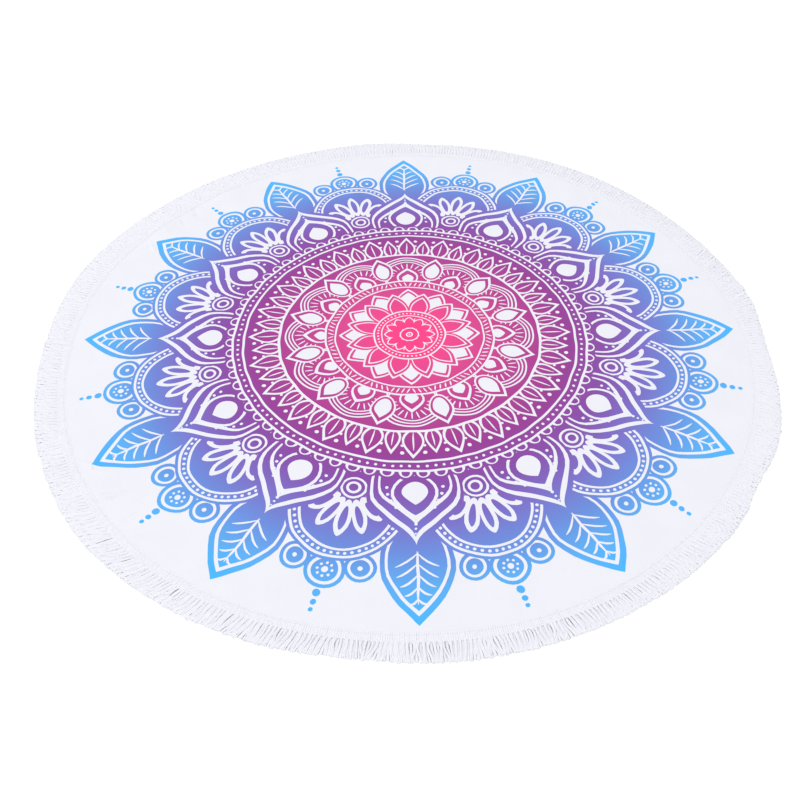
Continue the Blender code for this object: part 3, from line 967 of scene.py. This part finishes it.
def set_inputs(node, values):
    """Sets constant values on a node's own sockets."""
    for socket, value in values.items():
        node.inputs[socket].default_value = value


def noise(nodes, links, where, scale, detail):
    """A noise texture's output at a place."""
    made = nodes.new("ShaderNodeTexNoise")
    set_inputs(made, {"Scale": scale, "Detail": detail})
    links.new(where, made.inputs["Vector"])
    return made.outputs["Fac"]


def dye_colour(nodes, links, where):
    """The dye's colour, which changes with the distance from the print's middle."""
    shrink = 1 / PRINT_RADIUS
    for operation, value in (("SUBTRACT", (*PRINT_MIDDLE, 0.0)), ("MULTIPLY", (shrink, shrink, 0.0))):
        step = nodes.new("ShaderNodeVectorMath")
        step.operation = operation
        set_inputs(step, {1: value})
        links.new(where, step.inputs[0])
        where = step.outputs["Vector"]
    length = nodes.new("ShaderNodeVectorMath")
    length.operation = "LENGTH"
    links.new(where, length.inputs[0])
    ramp = nodes.new("ShaderNodeValToRGB")
    stops = ramp.color_ramp.elements
    while len(stops) < len(DYE_STEPS):
        stops.new(0.5)
    for stop, (position, screen) in zip(stops, DYE_STEPS):
        stop.position = position
        stop.color = (*linear(screen), 1.0)
    links.new(length.outputs["Value"], ramp.inputs["Fac"])
    return ramp.outputs["Color"]


def fabric(name, colour, roughness, sheen, bumps, mottle=0.03, mottle_scale=14.0):
    """A cloth or yarn, dyed if it has no colour. Bumps: noise scale per metre, height in metres, detail."""
    material = bpy.data.materials.new(name)
    material.use_nodes = True
    nodes, links = material.node_tree.nodes, material.node_tree.links
    shader = nodes["Principled BSDF"]
    set_inputs(shader, {"Roughness": roughness, "Specular IOR Level": SPECULAR, "Sheen Weight": sheen,
                        "Sheen Roughness": SHEEN_ROUGHNESS})
    where = nodes.new("ShaderNodeTexCoord").outputs["Object"]
    level = nodes.new("ShaderNodeMapRange")
    set_inputs(level, {"To Min": 1 - mottle, "To Max": 1 + mottle})
    links.new(noise(nodes, links, where, mottle_scale, MOTTLE_DETAIL), level.inputs["Value"])
    tint = nodes.new("ShaderNodeMix")
    tint.data_type = "RGBA"
    tint.blend_type = "MULTIPLY"
    set_inputs(tint, {"Factor": 1.0})
    if colour is None:
        links.new(dye_colour(nodes, links, where), tint.inputs[COLOUR_A])
    else:
        set_inputs(tint, {COLOUR_A: (*colour, 1.0)})
    links.new(level.outputs["Result"], tint.inputs[COLOUR_B])
    links.new(tint.outputs[COLOUR_OUT], shader.inputs["Base Color"])
    last = None
    for scale, height, detail in bumps:
        bump = nodes.new("ShaderNodeBump")
        set_inputs(bump, {"Strength": 1.0, "Distance": height})
        links.new(noise(nodes, links, where, scale, detail), bump.inputs["Height"])
        if last:
            links.new(last, bump.inputs["Normal"])
        last = bump.outputs["Normal"]
    links.new(last, shader.inputs["Normal"])
    return material


# === Building the pieces ===
shift = cad_shift()


def add_object(name, data):
    """A new object in the scene."""
    made = bpy.data.objects.new(name, data)
    bpy.context.scene.collection.objects.link(made)
    return made


def add_piece(mesh, materials):
    """A new object at the part's place in the frame."""
    for material in materials:
        mesh.materials.append(material)
    made = add_object(mesh.name, mesh)
    made.location = shift
    return made


bare = fabric("cloth_bare", CLOTH_WHITE, 0.92, 0.15, CLOTH_BUMPS)
dyed = fabric("cloth_dyed", None, 0.90, 0.05, CLOTH_BUMPS, mottle=0.045)
under = fabric("cloth_underside", UNDER_WHITE, 0.96, 0.25, ((620, 0.00060, 3.0),))
yarn = fabric("fringe_yarn", YARN_WHITE, 0.95, 0.10, ((1500, 0.00008, 2.0),), 0.02, 120.0)
tape = fabric("heading_tape", TAPE_WHITE, 0.95, 0.10, ((1300, 0.00010, 2.0),), 0.03, 60.0)

cloth_mesh, top_count = make_cloth()
cloth = add_piece(cloth_mesh, [bare, dyed, under])
finish_cloth(cloth_mesh, top_count)

chance = np.random.default_rng(SEED)
heading = add_piece(make_heading(chance), [tape])
stitches = add_piece(make_stitches(), [yarn])
paths = lock_paths(chance)
locks = [add_piece(mesh, [yarn]) for mesh in make_locks(chance, paths)]
bed = add_piece(make_bed(paths), [yarn])

# === Stage: floor, light and camera ===
FLOOR_SIZE, FLOOR_DROP, FLOOR_TONE = 40.0, 0.0002, 0.97
# One broad, soft light from the left and the front, over an even white surrounding.
KEY_SPOT, KEY_SIZE, KEY_POWER = (-5.5, -2.6, 6.8), 6.0, 170
LENS, SENSOR, CLIP_START = 39.758, 36.0, 0.05
AIM = Vector((-0.0112, -0.1992, 0.0))
CAMERA_DISTANCE = 1.7036
ELEVATION, ROLL = math.radians(46.325), math.radians(-0.634)

floor_mesh = bpy.data.meshes.new("floor")
half = FLOOR_SIZE / 2
corners = [(-half, -half, 0), (half, -half, 0), (half, half, 0), (-half, half, 0)]
floor_mesh.from_pydata(corners, [], [(0, 1, 2, 3)])
floor = add_object("floor", floor_mesh)
floor.location = (0, 0, -FLOOR_DROP)
pale = bpy.data.materials.new("pale_floor")
pale.use_nodes = True
set_inputs(pale.node_tree.nodes["Principled BSDF"], {
    "Base Color": (FLOOR_TONE, FLOOR_TONE, FLOOR_TONE, 1), "Roughness": 1.0, "Specular IOR Level": 0.0})
floor_mesh.materials.append(pale)

world = bpy.data.worlds.new("studio")
world.use_nodes = True
set_inputs(world.node_tree.nodes["Background"], {"Color": (1, 1, 1, 1), "Strength": 1.0})
stage = bpy.context.scene
stage.world = world

key_data = bpy.data.lights.new("key", "AREA")
key_data.size = KEY_SIZE
key_data.energy = KEY_POWER
key = add_object("key", key_data)
key.location = KEY_SPOT
key.rotation_mode = "QUATERNION"
key.rotation_quaternion = (-Vector(KEY_SPOT)).to_track_quat("-Z", "Y")

forward = Vector((0, math.cos(ELEVATION), -math.sin(ELEVATION)))
level_right = Vector((1, 0, 0))
level_up = level_right.cross(forward)
right = math.cos(ROLL) * level_right + math.sin(ROLL) * level_up
up = -math.sin(ROLL) * level_right + math.cos(ROLL) * level_up
eye = AIM + shift - forward * CAMERA_DISTANCE
camera_data = bpy.data.cameras.new("camera")
camera_data.lens = LENS
camera_data.sensor_width = SENSOR
camera_data.clip_start = CLIP_START
camera = add_object("camera", camera_data)
camera.matrix_world = Matrix.Translation(eye) @ Matrix((right, up, -forward)).transposed().to_4x4()
stage.camera = camera
stage.view_settings.view_transform = "Standard"
stage.view_settings.look = "None"

# === What each piece is ===
trim = [heading, stitches, bed, *locks]
for piece in (cloth, *trim):
    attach(piece, "root")
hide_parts("towel_cloth")
for piece in trim:
    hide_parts("fringe_trim")
